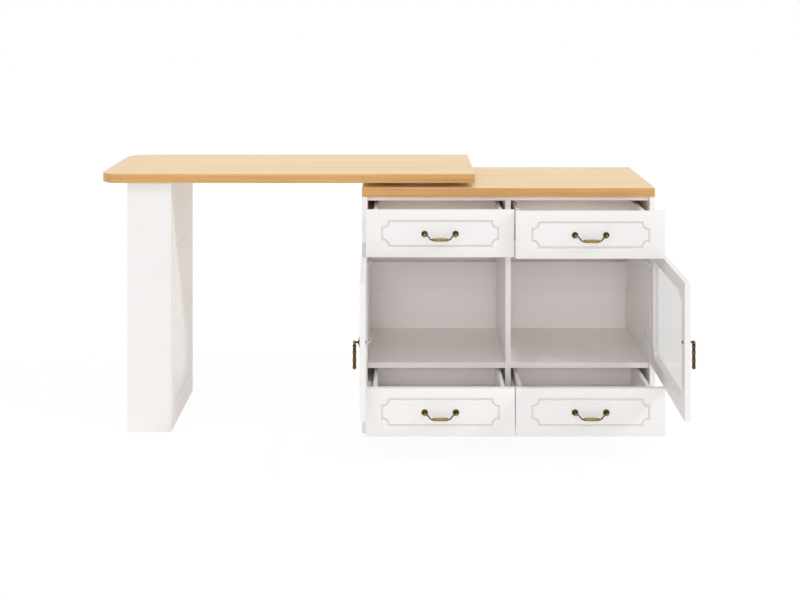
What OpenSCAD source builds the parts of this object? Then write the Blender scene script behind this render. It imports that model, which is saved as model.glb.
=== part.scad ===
// Kitchen island with a two-bay farmhouse cabinet and a swivelling table top on a boxed leg.
// Millimetres, +Z up, +Y to the back. The origin is on the floor, in the middle of the cabinet.
// The doors and drawers are drawn open; the table top is drawn in line with the cabinet.

/* [Cabinet] */
// Width across the side panels and the worktop
cab_w = 960; // [880:10:1100]
// Depth of the cabinet, front to back
cab_d = 400; // [380:10:460]
// Height of the worktop's upper face above the floor
worktop_h = 808; // [800:2:840]
// Thickness of the side panels
side_t = 18; // [15:1:22]
// Thickness of the centre divider
divider_t = 18; // [15:1:22]
// Thickness of the bottom panel and of the decks
deck_t = 18; // [15:1:20]
// Thickness of the back panel
back_t = 12; // [8:1:15]
// How far the back panel lies in front of the cabinet's rear edge
back_inset = 18; // [14:1:24]
// Thickness of the stretchers and of the toe kick
rail_t = 15; // [12:1:18]
// Width of the flat stretchers under the worktop
rail_w = 60; // [50:1:80]
// Height of the stretchers at the back of the two compartments
stretcher_h = 90; // [60:5:110]
// Height of the compartment stretchers' lower edge above the deck
stretcher_rise = 154; // [120:2:180]
// Height of the lower drawer fronts' bottom edge above the floor
toe_h = 84.5; // [80:0.5:90]
// How far the toe kick lies behind the cabinet's front
toe_set = 70; // [50:1:90]

/* [Tops] */
// Thickness of the worktop and of the table top
top_t = 30; // [24:1:36]
// Radius of the tops' long edges
top_edge_r = 2; // [1:0.5:3]
// Corner radius of the worktop and of the table top's cabinet end
top_corner_r = 4; // [3.5:0.5:8]
// Corner radius at the table top's free end
table_corner_r = 55; // [30:1:80]
// Length of the table top
table_l = 1230; // [1180:10:1300]
// Distance of the swivel's centre from the cabinet's left side
pivot_inset = 185; // [170:1:200]
// Distance of the swivel's centre from the table top's cabinet end
pivot_end = 185; // [170:1:200]

/* [Leg] */
// Width of the leg, seen from the front
leg_w = 144; // [120:2:150]
// How far the leg stands back from the table top's front edge
leg_front_set = 15; // [10:1:30]
// How far the leg stands back from the table top's rear edge
leg_rear_set = 31; // [20:1:40]
// Distance from the table top's free end to the leg
leg_end_set = 88.5; // [80:0.5:110]
// Thickness of the leg's boards
leg_t = 15; // [12:1:18]
// Height of the lowest routed line on the leg's broad sides
line_first = 82; // [60:1:100]
// Distance from one routed line to the next
line_pitch = 257; // [230:1:270]
// Width of a routed line
line_w = 9; // [5:0.5:12]
// Depth of a routed line
line_depth = 3; // [2:0.5:4]
// Height of the floor glides
glide_h = 4; // [3:0.5:6]
// Radius of the floor glides
glide_r = 9; // [7:0.5:9]

/* [Swivel bearing] */
// Height of the bearing, which is the free height between the two tops
swivel_gap = 15.5; // [14:0.5:18]
// Outer radius of the fixed ring
swivel_r = 120; // [110:1:130]
// Radial width of each ring
ring_w = 19; // [16:1:22]
// Number of balls between the rings
ball_count = 36; // [24:1:40]
// Radius of a ball
ball_r = 3; // [2.5:0.1:3.2]

/* [Fronts] */
// Thickness of the drawer fronts and doors
front_t = 16; // [15:1:18]
// Gap between neighbouring fronts
front_gap = 2.4; // [2:0.1:3]
// Gap between a front and the side panel
side_gap = 1.5; // [1.2:0.1:2.5]
// Height of the lower drawer fronts
low_front_h = 148; // [140:1:150]
// Height of the doors
door_h = 393; // [386:1:394]
// Margin from a front's edge to its routed groove
groove_margin = 47; // [40:1:60]
// The same margin above and below the groove
groove_margin_z = 31; // [26:1:36]
// Width of the routed groove
groove_w = 7; // [5:0.5:9]
// Depth of the routed groove
groove_depth = 3; // [2:0.5:4]
// Size of the groove's notched corners
notch_size = 20; // [14:1:24]
// Step at each end of a notched corner
notch_step = 6; // [4:0.5:8]

/* [Doors] */
// Width of the door frame's stiles and rails
stile_w = 47; // [45:1:60]
// Thickness of the glass
glass_t = 4; // [3:0.5:5]
// Thickness of the frame left in front of the glass
glass_lip = 3; // [2:0.5:4]
// Overlap of the frame's lip on the glass, all round
glass_lap = 8; // [6:1:12]
// Angle that each door stands open
door_open = 88.8; // [0:0.1:90]
// Hinge axis, outward from the side panel's inner face
axis_out = 12; // [11:0.5:13]
// Hinge axis, behind the cabinet's front
axis_in = 4; // [3:0.5:5]
// Distance of the hinges from the door's ends
hinge_end = 68; // [60:1:90]

/* [Drawers] */
// Pull-out of the upper left drawer
pull_upper_left = 194; // [0:1:300]
// Pull-out of the upper right drawer
pull_upper_right = 212; // [0:1:300]
// Pull-out of the two lower drawers
pull_lower = 212; // [0:1:300]
// Thickness of the drawer boxes' sides
box_t = 12; // [10:1:14]
// Thickness of the drawer bottoms
box_bottom_t = 6; // [4:1:8]
// Height of the drawer boxes
box_h = 95; // [80:1:98]
// Depth of the drawer boxes behind their fronts
box_l = 335; // [300:5:335]
// Height of a box's lower edge above its front's lower edge
box_rise = 15; // [14:1:20]
// Length of the ball slides
slide_l = 350; // [300:10:350]
// Height of the ball slides
slide_h = 45; // [40:1:46]
// Thickness of a closed ball slide
slide_w = 12.7; // [12.5:0.1:13.5]
// Thickness of the packers between the side panels and the slides
packer_t = 9; // [6:1:12]

/* [Drawer pulls] */
// Distance between the two posts of a drawer pull
post_pitch = 96; // [76:2:128]
// Reach of a pull's pivot in front of the drawer front
post_reach = 18; // [16:0.5:24]
// Drop of the grip below the pivots
bail_drop = 14.5; // [12:0.5:24]
// Length of the turned grip
grip_l = 58; // [40:1:60]
// Largest radius of the turned grip
grip_r = 5; // [4:0.25:5.5]
// Radius of the rosettes on the drawers
rosette_r = 10; // [9:0.5:14]

/* [Door pulls] */
// Radius of the rosettes on the doors
door_rosette_r = 16; // [12:0.5:18]
// Reach of a pendant's pivot in front of the door
pendant_reach = 15; // [14:0.5:24]
// Length of the hanging bar below its pivot
pendant_l = 77; // [60:1:90]
// Largest radius of the hanging bar
pendant_r = 5.5; // [4:0.25:5.75]
// Height of the pendants' pivots above the door's lower edge
pendant_z = 218; // [200:1:300]

/* [Hidden] */
$fn = 48;

// Colours
WHITE = [0.96, 0.95, 0.94];
INNER = [0.93, 0.92, 0.91];
WOOD = [0.84, 0.66, 0.44];
BRASS = [0.42, 0.32, 0.16];
STEEL = [0.74, 0.75, 0.76];
DARK_STEEL = [0.36, 0.36, 0.37];
NYLON = [0.88, 0.88, 0.86];

// Chamfer round a glide's foot
glide_chamfer = 1;

// Running clearance of a pin in its bore, and the gap between parts that slide past each other
fit = 0.05;
slip = 0.4;
// Play that keeps bench-fitted boards from binding
seat = 0.2;
// Gap between the closed fronts and the carcass boards behind them
front_rest = 1.5;
// How far the bottom panel's upper face lies below the lower fronts' bottom edge
bottom_drop = 0.5;
// How far a cutter reaches past the face that it opens
over = 1;

// Cabinet, worked out from the sizes above
front_y = -cab_d / 2;
rear_y = cab_d / 2;
inner_x = cab_w / 2 - side_t;
mid_x = divider_t / 2;
panel_top = worktop_h - top_t;
recess_y = front_y + front_t + front_rest;
back_y1 = rear_y - back_inset;
back_y0 = back_y1 - back_t;
bottom_top = toe_h - bottom_drop;
door_z0 = toe_h + low_front_h + front_gap;
door_z1 = door_z0 + door_h;
low_deck_top = door_z0 - front_gap * 2;
up_deck_top = door_z1 + front_gap / 2;
up_front_z = door_z1 + front_gap;
up_front_h = panel_top - front_gap - up_front_z;
hinge_zs = [door_z0 + hinge_end, door_z1 - hinge_end];

// Table and leg
table_z0 = worktop_h + swivel_gap;
pivot_x = -cab_w / 2 + pivot_inset;
table_x1 = pivot_x + pivot_end;
table_x0 = table_x1 - table_l;
ball_track_r = swivel_r - ring_w;
ring_gap = 1;
ring_lift = 2;
ball_play = 0.3;
race_z = worktop_h + swivel_gap / 2;
leg_x0 = table_x0 + leg_end_set;
leg_x1 = leg_x0 + leg_w;
leg_y0 = front_y + leg_front_set;
leg_y1 = rear_y - leg_rear_set;
line_zs = [for (z = [line_first : line_pitch : table_z0 - line_pitch / 2]) z];

// Fronts of the left bay; the right bay is their mirror image
front_x0 = -(inner_x - side_gap);
front_x1 = -front_gap / 2;
front_mid = (front_x0 + front_x1) / 2;

// Drawer box and slides of the left bay
slide_out_x = -(inner_x - packer_t);
slide_in_x = -mid_x;
box_x0 = slide_out_x + slide_w;
box_x1 = slide_in_x - slide_w;
box_y0 = front_y + front_t;
slide_y0 = recess_y;
lower_box_z = toe_h + box_rise;
upper_box_z = up_front_z + box_rise;
slide_rise = box_h * 0.47;
// Height of the drawer bottoms above the lower edge of their boxes
box_bottom_rise = 10;

// Ball slides: skin of the rolled members, thicker ball flanges, and the free space at the drawer side
slide_skin = 1.2;
race_t = 3;
inner_flange_t = 2;
slide_free = 3;
middle_h = slide_h - 2 * slide_skin - 2 * slip;
inner_h = middle_h - 2 * race_t - 2 * slip;

// Doors: the hinge axis, and the frame's own places before it is swung open
axis_x = -(inner_x + axis_out);
axis_y = front_y + axis_in;
glass_y0 = front_y + glass_lip;
glass_y1 = glass_y0 + glass_t;
cup_r = 17.4;
cup_inset = 20.5;
cup_depth = 11.5;
cup_floor = 1;
flange_t = 0.8;
flange_side = 1;
cup_x = front_x0 + cup_inset;
ear_out = 24;
ear_in = 4;
ear_r = 6;
ear_web = 12;
screw_r = 2.2;
pocket_half = 15.4;
relief_depth = 7;
retainer_t = front_t - glass_lip - glass_t - seat;

// Hinge arm: its nose carries the pin inside the closed door's cup; the link turns on it
pin_r = 1.2;
nose_r = 2.2;
pin_in = 21.5;
pin_back = 4.6;
pin_x = axis_x + pin_in;
pin_y = axis_y + pin_back;
link_l = 27.2;
link_h = 7;
link_half = 1.1;
arm_start = (pin_r + fit + nose_r) / 2;
link_closed = -2.7;
link_ratio = 1.316;
link_angle = link_closed - link_ratio * door_open;
fork_in = link_h / 2 + slip;
fork_t = 2.2;
fork_out = fork_in + fork_t;
pocket_play = 0.6;
pocket_h = 2 * (fork_out + pocket_play);
end_pin_r = 0.9;
end_pin_in = 1.2;
end_play = 0.3;
neck_l = 10;
plate_l = 44;
plate_h = 40;
plate_t = 2.5;
plate_back = 2;

// Pulls
stud_r = 2;
head_r = 4.2;
bail_pin_r = 2;
neck_r = 2.6;
rim_t = 1.2;
post_screw_t = 2.5;
finial_r = 1.8;
arm_r = 2;
knuckle_r = 2.4;
grip_end_r = 3;
grip_neck_r = 2;
cheek_t = 1.5;
cheek_r = 3.2;
upper_pull_z = up_front_z + up_front_h / 2;
lower_pull_z = toe_h + low_front_h / 2;
pendant_x = front_x1 - stile_w / 2;

// A box given by its two ends along each axis
module block(x0, x1, y0, y1, z0, z1) {
  translate([x0, y0, z0]) cube([x1 - x0, y1 - y0, z1 - z0]);
}

// The part in the left bay as drawn, or mirrored into the right bay
module bay(side) {
  mirror([side == "right" ? 1 : 0, 0, 0]) children();
}

// Section of a top from inside (x = 0) to its rounded edge (x = w)
module edge_section(w) {
  e = top_edge_r;
  square([w - e, top_t]);
  translate([0, e]) square([w, top_t - 2 * e]);
  translate([w - e, e]) circle(e);
  translate([w - e, top_t - e]) circle(e);
}

// A wooden top with rounded edges all round and its own corner radius at each end
module wooden_top(x0, x1, y0, y1, z0, r_left, r_right) {
  mid = (y0 + y1) / 2;
  half = (y1 - y0) / 2;
  for (s = [0, 1])
    translate([0, mid, z0]) mirror([0, s, 0])
      translate([x0 + r_left, 0, 0]) rotate([90, 0, 90])
        linear_extrude(x1 - x0 - r_left - r_right) edge_section(half);
  for (end = [[x0 + r_left, 180, r_left], [x1 - r_right, 0, r_right]]) {
    x = end[0];
    turn = end[1];
    r = end[2];
    run = half - r;
    translate([x, mid + (turn == 0 ? -run : run), z0]) rotate([0, 0, turn])
      rotate([90, 0, 0]) mirror([0, 0, 1]) linear_extrude(2 * run) edge_section(r);
    for (s = [-1, 1])
      translate([x, mid + s * run, z0])
        rotate([0, 0, turn == 0 ? (s > 0 ? 0 : 270) : (s > 0 ? 90 : 180)])
          rotate_extrude(angle = 90) edge_section(r);
  }
}

// Outline of the routed panel: a rectangle whose corners are notched by a stepped cove
module notched_outline(w, h) {
  difference() {
    square([w, h], center = true);
    for (sx = [-1, 1], sy = [-1, 1])
      translate([sx * w / 2, sy * h / 2]) mirror([sx > 0 ? 1 : 0, 0]) mirror([0, sy > 0 ? 1 : 0]) {
        square([notch_size, notch_step]);
        square([notch_step, notch_size]);
        translate([notch_step, notch_step]) circle(notch_size - notch_step);
      }
  }
}

// The cutter for the groove on a front, as wide as w by h, with a shallow step on each flank
module groove_cutter(w, h) {
  for (cut = [[0, groove_depth / 3], [groove_w / 4, groove_depth]])
    translate([0, 0, -cut[1]]) linear_extrude(cut[1] + over) difference() {
      notched_outline(w - 2 * cut[0], h - 2 * cut[0]);
      notched_outline(w - 2 * groove_w + 2 * cut[0], h - 2 * groove_w + 2 * cut[0]);
    }
}

// ---- Cabinet carcass ----

// A full-height side panel that carries the worktop on its upper edge
module side_panel() {
  color(WHITE) block(-cab_w / 2, -inner_x, front_y, rear_y, glide_h, panel_top);
}

module centre_divider() {
  color(WHITE) difference() {
    block(-mid_x, mid_x, recess_y, back_y0, bottom_top, panel_top);
    for (y = [recess_y, back_y0 - rail_w])
      block(-mid_x - over, mid_x + over, y - over, y + rail_w + over, panel_top - rail_t, panel_top + over);
  }
}

module bottom_panel() {
  color(WHITE) block(-inner_x, inner_x, recess_y, back_y0, bottom_top - deck_t, bottom_top);
}

// The compartments' floors and the panels between the doors and the upper drawers
module decks() {
  color(WHITE) for (side = ["left", "right"]) bay(side)
    for (top = [low_deck_top, up_deck_top])
      block(-inner_x, -mid_x, recess_y, back_y0, top - deck_t, top);
}

module back_panel() {
  color(WHITE) block(-inner_x, inner_x, back_y0, back_y1, bottom_top - deck_t, panel_top);
}

// Flat stretchers under the worktop, and an upright one at the back of each compartment
module cross_rails() {
  color(WHITE) {
    for (y = [recess_y, back_y0 - rail_w])
      block(-inner_x, inner_x, y, y + rail_w, panel_top - rail_t, panel_top);
    for (side = ["left", "right"]) bay(side)
      block(-inner_x, -mid_x, back_y0 - deck_t, back_y0,
        low_deck_top + stretcher_rise, low_deck_top + stretcher_rise + stretcher_h);
  }
}

// The toe kick, and the spreader behind it that carries the bottom panel under the divider
module toe_kick() {
  kick_y1 = front_y + toe_set + rail_t;
  color(WHITE) {
    block(-inner_x, inner_x, front_y + toe_set, kick_y1, glide_h, bottom_top - deck_t);
    block(-mid_x, mid_x, kick_y1 + seat, back_y0, glide_h, bottom_top - deck_t);
  }
}

module worktop() {
  color(WOOD)
    wooden_top(-cab_w / 2, cab_w / 2, front_y, rear_y, panel_top, top_corner_r, top_corner_r);
}

// A nylon glide under a board's lower edge
module glide(x, y) {
  translate([x, y, 0]) cylinder(r1 = glide_r - glide_chamfer, r2 = glide_r, h = glide_chamfer);
  translate([x, y, glide_chamfer]) cylinder(r = glide_r, h = glide_h - glide_chamfer);
}

// Three glides under each side panel and one in the middle, under the plinth's spreader
module cabinet_glides() {
  color(NYLON) {
    for (side = ["left", "right"]) bay(side)
      for (y = [front_y + 3 * glide_r, 0, rear_y - 3 * glide_r]) glide(-cab_w / 2 + side_t / 2, y);
    glide(0, 0);
  }
}

// ---- Ball slides: three members nest in each other and run along Y ----

// Channel sections, with x from the cabinet (0) to the drawer (slide_w) and y up
module channel_outer() {
  translate([0, -slide_h / 2]) square([slide_skin, slide_h]);
  for (s = [-1, 1]) translate([0, s > 0 ? slide_h / 2 - slide_skin : -slide_h / 2])
    square([slide_w - slide_free, slide_skin]);
}

module channel_middle() {
  translate([slide_skin + slip, -middle_h / 2]) square([slide_skin, middle_h]);
  for (s = [-1, 1])
    translate([slide_skin + slip, s > 0 ? middle_h / 2 - race_t : -middle_h / 2])
      square([slide_w - slide_free - slide_skin - slip, race_t]);
}

module channel_inner() {
  x0 = 2 * slide_skin + 2 * slip;
  translate([slide_w - slide_skin, -inner_h / 2]) square([slide_skin, inner_h]);
  for (s = [-1, 1]) translate([x0, s > 0 ? inner_h / 2 - inner_flange_t : -inner_h / 2])
    square([slide_w - x0, inner_flange_t]);
}

// Runs a channel section along Y on both sides of the left bay's drawer, moved out by y_out
module slide_pair(box_z, y_out) {
  for (place = [[slide_out_x, 0], [slide_in_x, 1]])
    translate([place[0], slide_y0 + slide_l - y_out, box_z + slide_rise])
      mirror([place[1], 0, 0]) rotate([90, 0, 0]) linear_extrude(slide_l) children();
}

module slide_cabinet_members() {
  color(DARK_STEEL) for (side = ["left", "right"]) bay(side)
    for (z = [lower_box_z, upper_box_z]) slide_pair(z, 0) channel_outer();
}

module slide_middle(side, box_z, pull) {
  color(STEEL) bay(side) slide_pair(box_z, pull / 2) channel_middle();
}

module slide_inner(side, box_z, pull) {
  color(STEEL) bay(side) slide_pair(box_z, pull) channel_inner();
}

module slide_packers() {
  color(WHITE) for (side = ["left", "right"]) bay(side)
    for (z = [lower_box_z, upper_box_z])
      block(-inner_x, slide_out_x, recess_y, back_y0,
        z + slide_rise - slide_h / 2, z + slide_rise + slide_h / 2);
}

// ---- Drawers ----

// A turned pull post on the drawer front: rosette, neck, pierced head, and its screw behind
module pull_post(r_base, reach) {
  difference() {
    union() {
      rotate_extrude() polygon([
        [0, 0], [r_base, 0], [r_base, rim_t], [r_base - 1.25 * rim_t, 1.8 * rim_t],
        [r_base * 0.66, 2.3 * rim_t], [r_base * 0.5, 3.7 * rim_t], [1.3 * neck_r, 4.5 * rim_t],
        [neck_r, 6.3 * rim_t], [neck_r, reach - head_r - rim_t / 2],
        [1.35 * neck_r, reach - head_r + rim_t / 2], [0, reach - head_r + rim_t / 2]
      ]);
      translate([0, 0, reach]) sphere(head_r);
      translate([0, 0, reach + head_r - finial_r / 3]) cylinder(r = finial_r, h = finial_r);
    }
    translate([0, 0, reach]) rotate([0, 90, 0])
      cylinder(r = bail_pin_r + fit, h = 4 * head_r, center = true);
  }
  translate([0, 0, -front_t]) cylinder(r = stud_r, h = front_t);
  translate([0, 0, -front_t - post_screw_t]) cylinder(r = 2 * stud_r, h = post_screw_t);
}

module posts(side, pull_z, pull) {
  color(BRASS) bay(side) for (s = [-1, 1])
    translate([front_mid + s * post_pitch / 2, front_y - pull, pull_z]) rotate([90, 0, 0])
      pull_post(rosette_r, post_reach);
}

// Half-profile of the turned grip at place t from 0 (end) to 1 (other end)
function grip_radius(t) =
  grip_neck_r + (grip_r - grip_neck_r) * pow(sin(180 * t), 0.8) + 0.5 * max(0, cos(360 * 3 * t));

module bar(a, b, r) {
  d = b - a;
  translate(a) rotate([0, acos(d[2] / norm(d)), atan2(d[1], d[0])]) cylinder(r = r, h = norm(d));
}

// The drop bail: pins in the posts, sloping arms and a turned grip between them
module bail(side, pull_z, pull) {
  arm_x = post_pitch / 2 - head_r - knuckle_r - slip;
  steps = 24;
  color(BRASS) bay(side) translate([front_mid, front_y - pull - post_reach, pull_z]) {
    for (s = [-1, 1]) {
      bar([s * arm_x, 0, 0], [s * (post_pitch / 2 + head_r - 1), 0, 0], bail_pin_r);
      translate([s * arm_x, 0, 0]) sphere(knuckle_r);
      bar([s * arm_x, 0, 0], [s * grip_l / 2, 0, -bail_drop], arm_r);
      translate([s * grip_l / 2, 0, -bail_drop]) sphere(grip_end_r);
    }
    translate([-grip_l / 2, 0, -bail_drop]) rotate([0, 90, 0]) rotate_extrude()
      polygon(concat([[0, 0]],
        [for (i = [0 : steps]) [grip_radius(i / steps), grip_l * i / steps]], [[0, grip_l]]));
  }
}

// A drawer front with its routed groove and the holes for the pull's screws
module drawer_front(side, z0, h, pull) {
  color(WHITE) bay(side) translate([0, -pull, 0]) difference() {
    block(front_x0, front_x1, front_y, front_y + front_t, z0, z0 + h);
    translate([front_mid, front_y, z0 + h / 2]) rotate([90, 0, 0])
      groove_cutter(front_x1 - front_x0 - 2 * groove_margin, h - 2 * groove_margin_z);
    for (s = [-1, 1]) translate([front_mid + s * post_pitch / 2, front_y - over, z0 + h / 2])
      rotate([-90, 0, 0]) cylinder(r = stud_r + seat, h = front_t + 2 * over);
  }
}

// The box behind a front: two sides, a back and a bottom let into them
module drawer_box(side, z0, pull) {
  y1 = box_y0 + box_l;
  bottom_z = z0 + box_bottom_rise;
  let_in = box_t / 2;
  color(INNER) bay(side) translate([0, -pull, 0]) {
    difference() {
      union() {
        for (x = [box_x0, box_x1 - box_t]) block(x, x + box_t, box_y0, y1, z0, z0 + box_h);
        block(box_x0 + box_t, box_x1 - box_t, y1 - box_t, y1, z0, z0 + box_h);
      }
      block(box_x0 + let_in - seat, box_x1 - let_in + seat, box_y0 - over, y1 - let_in + seat,
        bottom_z - seat, bottom_z + box_bottom_t + seat);
    }
    block(box_x0 + let_in, box_x1 - let_in, box_y0, y1 - let_in, bottom_z, bottom_z + box_bottom_t);
  }
}

// ---- Doors ----

// Puts a closed door's part of the left bay where the open door holds it
module open_door(side) {
  bay(side) translate([axis_x, axis_y, 0]) rotate([0, 0, -door_open]) translate([-axis_x, -axis_y, 0])
    children();
}

// The pane's opening, with notched corners, between two depths in the door
module pane_opening(y0, y1) {
  w = front_x1 - front_x0 - 2 * stile_w;
  h = door_h - 2 * stile_w;
  translate([front_mid, y1, door_z0 + door_h / 2]) rotate([90, 0, 0])
    linear_extrude(y1 - y0) notched_outline(w, h);
}

// The rebate that the pane and its retainer lie in, or a piece that fits it with some play
module pane_rebate(y0, y1, play) {
  in = stile_w - glass_lap + play;
  block(front_x0 + in, front_x1 - in, y0, y1, door_z0 + in, door_z1 - in);
}

module door_frame(side) {
  inner_y = front_y + front_t;
  color(WHITE) open_door(side) difference() {
    block(front_x0, front_x1, front_y, inner_y, door_z0, door_z1);
    pane_opening(front_y - over, inner_y + over);
    pane_rebate(glass_y0, inner_y + over, 0);
    for (z = hinge_zs) {
      translate([cup_x, inner_y - cup_depth, z])
        rotate([-90, 0, 0]) cylinder(r = cup_r + seat / 2, h = cup_depth + over);
      block(front_x0 - over, cup_x, inner_y - relief_depth, inner_y + over,
        z - pocket_h / 2, z + pocket_h / 2);
    }
    translate([pendant_x, front_y - over, door_z0 + pendant_z]) rotate([-90, 0, 0])
      cylinder(r = stud_r + seat, h = front_t + 2 * over);
  }
}

module door_glass(side) {
  color([0.86, 0.88, 0.88, 0.5]) open_door(side) pane_rebate(glass_y0, glass_y1, seat);
}

// A flat frame that holds the pane in its rebate; its opening has the same notched corners
module glass_retainer(side) {
  color(WHITE) open_door(side) difference() {
    pane_rebate(glass_y1, glass_y1 + retainer_t, seat);
    pane_opening(glass_y1 - over, glass_y1 + retainer_t + over);
  }
}

// Hinge cups let into the door, each with a flange, and a pocket that the hinge's nose dips into
module hinge_cups(side) {
  color(STEEL) open_door(side) for (z = hinge_zs) translate([cup_x, front_y + front_t, z]) difference() {
    union() {
      rotate([90, 0, 0]) cylinder(r = cup_r, h = cup_depth);
      translate([-cup_r - flange_side, 0, -cup_r]) cube([2 * cup_r + flange_side, flange_t, 2 * cup_r]);
      translate([-ear_in - ear_r, 0, -ear_out]) cube([ear_web, flange_t, 2 * ear_out]);
      for (s = [-1, 1])
        translate([-ear_in, 0, s * ear_out]) rotate([-90, 0, 0]) cylinder(r = ear_r, h = flange_t);
    }
    translate([-pocket_half, cup_floor - cup_depth, -pocket_h / 2])
      cube([2 * pocket_half, cup_depth, pocket_h]);
    translate([-2 * cup_r, -relief_depth, -pocket_h / 2]) cube([2 * cup_r, 2 * relief_depth, pocket_h]);
    for (s = [-1, 1]) translate([-ear_in, -over, s * ear_out])
      rotate([-90, 0, 0]) cylinder(r = screw_r, h = flange_t + 2 * over);
  }
}

// Fixed hinge parts: a plate on the side panel and a forked arm with the hinge pin in its nose
module hinge_arm(z) {
  arm_y = pin_y + neck_l;
  translate([-inner_x, arm_y + plate_back, z - plate_h / 2]) cube([plate_t, plate_l, plate_h]);
  block(-inner_x + plate_t, pin_x + nose_r, arm_y, arm_y + plate_l - plate_back,
    z - fork_out, z + fork_out);
  for (zc = [z - fork_out, z + fork_in]) {
    block(pin_x - nose_r, pin_x + nose_r, pin_y, arm_y, zc, zc + fork_t);
    translate([pin_x, pin_y, zc]) cylinder(r = nose_r, h = fork_t);
  }
  translate([pin_x, pin_y, z - fork_out]) cylinder(r = pin_r, h = 2 * fork_out);
}

module hinge_arms() {
  color(STEEL) for (side = ["left", "right"]) bay(side) for (z = hinge_zs) hinge_arm(z);
}

// The links turn on the hinge pins, and their cross pins end just short of the cups' side walls
module hinge_links(side) {
  color(STEEL) bay(side) for (z = hinge_zs) translate([pin_x, pin_y, z - link_h / 2]) difference() {
    union() {
      cylinder(r = nose_r, h = link_h);
      rotate([0, 0, link_angle]) {
        translate([arm_start, -link_half, 0]) cube([link_l - arm_start, 2 * link_half, link_h]);
        translate([link_l - end_pin_in, 0, link_h / 2])
          cylinder(r = end_pin_r, h = pocket_h - 2 * end_play, center = true);
      }
    }
    translate([0, 0, -1]) cylinder(r = pin_r + fit, h = link_h + 2);
  }
}

// The pendant's post on the door's outer face
module door_pull_post(side) {
  color(BRASS) open_door(side) translate([pendant_x, front_y, door_z0 + pendant_z])
    rotate([90, 0, 0]) pull_post(door_rosette_r, pendant_reach);
}

function pendant_radius(t) = pendant_r * (0.8 + 0.2 * pow(cos(180 * 3 * t), 2));

// The pendant: a fork on a pin through the post's head, and a turned bar that hangs from it
module pendant(side) {
  steps = 36;
  cheek_in = head_r + slip;
  yoke_t = 2;
  yoke_z = -head_r - yoke_t;
  bar_h = pendant_l + yoke_z - yoke_t / 2;
  color(BRASS) open_door(side)
    translate([pendant_x, front_y - pendant_reach, door_z0 + pendant_z]) {
      bar([-cheek_in - cheek_t, 0, 0], [cheek_in + cheek_t, 0, 0], bail_pin_r);
      for (s = [-1, 1]) translate([s > 0 ? cheek_in : -cheek_in - cheek_t, 0, 0]) {
        rotate([0, 90, 0]) cylinder(r = cheek_r, h = cheek_t);
        translate([0, -cheek_r, yoke_z - yoke_t]) cube([cheek_t, 2 * cheek_r, yoke_t - yoke_z]);
      }
      translate([-cheek_in - cheek_t, -cheek_r, yoke_z - yoke_t])
        cube([2 * (cheek_in + cheek_t), 2 * cheek_r, yoke_t]);
      translate([0, 0, -pendant_l]) rotate_extrude()
        polygon(concat([[0, 0], [pendant_r * 0.7, 0]],
          [for (i = [1 : steps]) [pendant_radius(i / steps), bar_h * i / steps]], [[0, bar_h]]));
    }
}

// ---- Swivel bearing ----

// A bearing ring between two radii, with the ball race turned into its track side
module race_ring(r0, r1, z0, z1, race_r) {
  translate([pivot_x, 0, 0]) difference() {
    translate([0, 0, z0]) cylinder(r = r1, h = z1 - z0, $fn = 96);
    translate([0, 0, z0 - over]) cylinder(r = r0, h = z1 - z0 + 2 * over, $fn = 96);
    translate([0, 0, race_z]) rotate_extrude($fn = 96) translate([ball_track_r, 0]) circle(race_r);
  }
}

module swivel_base() {
  color(STEEL)
    race_ring(ball_track_r + ring_gap / 2, swivel_r, worktop_h, table_z0 - ring_lift, ball_r + fit);
}

module swivel_ring() {
  color(STEEL)
    race_ring(ball_track_r - ring_w, ball_track_r - ring_gap / 2, worktop_h + ring_lift, table_z0,
      ball_r + ball_play);
}

module swivel_balls() {
  color(STEEL) for (i = [0 : ball_count - 1])
    translate([pivot_x, 0, race_z]) rotate([0, 0, 360 * i / ball_count])
      translate([ball_track_r, 0, 0]) sphere(ball_r, $fn = 24);
}

// ---- Table ----

module table_top() {
  color(WOOD)
    wooden_top(table_x0, table_x1, front_y, rear_y, table_z0, table_corner_r, top_corner_r);
}

// Front and rear boards of the leg, which cover the edges of its broad sides
module leg_end_panels() {
  color(WHITE) for (y = [leg_y0, leg_y1 - leg_t])
    block(leg_x0, leg_x1, y, y + leg_t, glide_h, table_z0);
}

// A broad side of the leg with its routed lines on the outer face at x_face
module leg_side(x, x_face) {
  difference() {
    block(x, x + leg_t, leg_y0 + leg_t, leg_y1 - leg_t, glide_h, table_z0);
    for (z = line_zs) translate([x_face, 0, z]) scale([line_depth / (line_w / 2), 1, 1])
      rotate([0, 45, 0]) cube([line_w / sqrt(2), 2 * cab_d, line_w / sqrt(2)], center = true);
  }
}

module leg_inner_panel() {
  color(WHITE) leg_side(leg_x1 - leg_t, leg_x1);
}

module leg_outer_panel() {
  color(WHITE) leg_side(leg_x0, leg_x0);
}

// Blocks inside the leg: a floor board above the glides and two cleats screwed to the table top
module leg_blocking() {
  x0 = leg_x0 + leg_t;
  x1 = leg_x1 - leg_t;
  y0 = leg_y0 + leg_t;
  y1 = leg_y1 - leg_t;
  cleat = 2 * leg_t;
  color(INNER) {
    block(x0, x1, y0, y1, glide_h, glide_h + deck_t);
    for (y = [y0, y1 - cleat]) block(x0, x1, y, y + cleat, table_z0 - cleat, table_z0);
  }
}

module leg_glides() {
  color(NYLON) for (x = [leg_x0 + 3 * glide_r, leg_x1 - 3 * glide_r])
    for (y = [leg_y0 + 4 * glide_r, leg_y1 - 4 * glide_r]) glide(x, y);
}

side_panel();  // side_panel_left
bay("right") side_panel();  // side_panel_right
centre_divider();
bottom_panel();
decks();
back_panel();
cross_rails();
toe_kick();
worktop();
cabinet_glides();
slide_packers();
slide_cabinet_members();
hinge_arms();
swivel_base();
swivel_balls();

table_top();
leg_end_panels();
leg_inner_panel();
leg_outer_panel();
leg_blocking();
leg_glides();
swivel_ring();

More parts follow.
